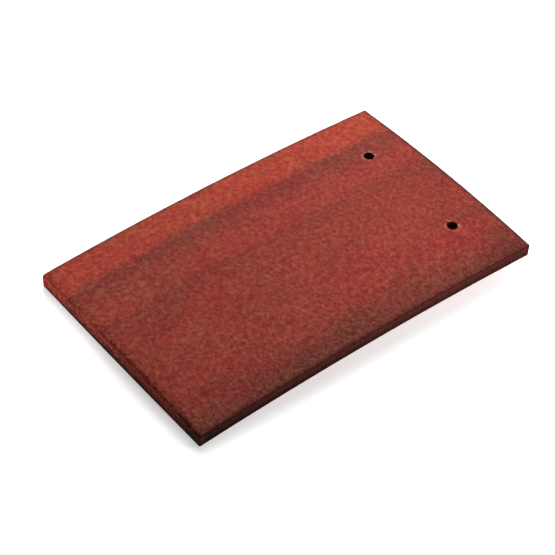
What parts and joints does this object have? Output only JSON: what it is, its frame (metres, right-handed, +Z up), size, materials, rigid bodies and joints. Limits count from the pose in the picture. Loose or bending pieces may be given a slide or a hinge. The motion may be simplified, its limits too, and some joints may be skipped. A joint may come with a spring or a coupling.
{
  "type": "concrete plain tile",
  "caption": "Cambered concrete roof tile, laid face up: flat rectangular slab with crowned face, nail holes near the head and nibs under it that hook over a batten.",
  "frame": {"origin": "on the floor under the middle of the tile as it lies face up", "axes": "+X across the tile, +Y from its tail to its head with the nibs, +Z up"},
  "size_m": [0.165, 0.2672, 0.0238],
  "materials": {
    "concrete": "through-coloured red concrete, matt, fine open grain, drawn along its length"
  },
  "bodies": {
    "root": {"plain_tile": "concrete"}
  },
  "joints": []
}
